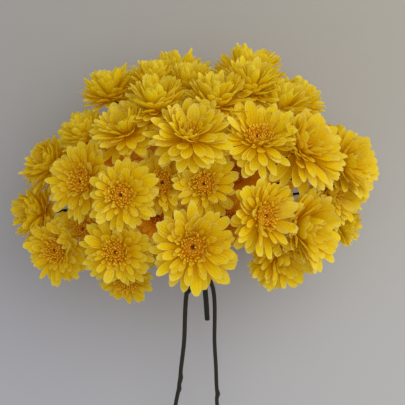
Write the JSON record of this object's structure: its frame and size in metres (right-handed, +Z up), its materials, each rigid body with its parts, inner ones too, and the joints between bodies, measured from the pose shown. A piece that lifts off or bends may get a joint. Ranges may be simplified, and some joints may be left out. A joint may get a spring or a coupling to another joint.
{
  "type": "spray chrysanthemum bunch",
  "caption": "Cut bunch of leafy spray stems with a dome of double yellow daisy-like blooms, lying on a table.",
  "frame": {"origin": "on the table, under the middle of the bunch's bounding box", "axes": "+Z up from the table the bunch lies on, +Y along the stems from their cut ends to the flowers, +X to the right of someone who looks down on it with the flowers away from them"},
  "size_m": [0.3657, 0.5025, 0.2241],
  "materials": {
    "petals": "soft matt petals",
    "stems": "matt green-brown stalk"
  },
  "bodies": {
    "root": {"bloom_01": "petals", "bloom_02": "petals", "bloom_03": "petals", "bloom_04": "petals", "bloom_05": "petals", "bloom_06": "petals", "bloom_07": "petals", "bloom_08": "petals", "bloom_09": "petals", "bloom_10": "petals", "bloom_11": "petals", "bloom_12": "petals", "bloom_13": "petals", "bloom_14": "petals", "bloom_15": "petals", "bloom_16": "petals", "bloom_17": "petals", "bloom_18": "petals", "bloom_19": "petals", "bloom_20": "petals", "bloom_21": "petals", "bloom_22": "petals", "bloom_23": "petals", "bloom_24": "petals", "bloom_25": "petals", "bloom_26": "petals", "bloom_27": "petals", "bloom_28": "petals", "bloom_29": "petals", "bloom_30": "petals", "bloom_31": "petals", "bloom_32": "petals", "bloom_33": "petals", "bloom_34": "petals", "bloom_35": "petals", "bloom_36": "petals", "bloom_37": "petals", "bloom_38": "petals", "bloom_39": "petals", "bloom_40": "petals", "bloom_41": "petals", "bloom_42": "petals", "bloom_43": "petals", "bloom_44": "petals", "bloom_45": "petals", "bloom_46": "petals", "bloom_47": "petals", "bloom_48": "petals", "bloom_49": "petals", "bloom_50": "petals", "bloom_51": "petals", "bloom_52": "petals", "bloom_53": "petals", "bloom_54": "petals", "stem_left": "stems", "stem_right": "stems", "stem_middle": "stems"}
  },
  "joints": []
}
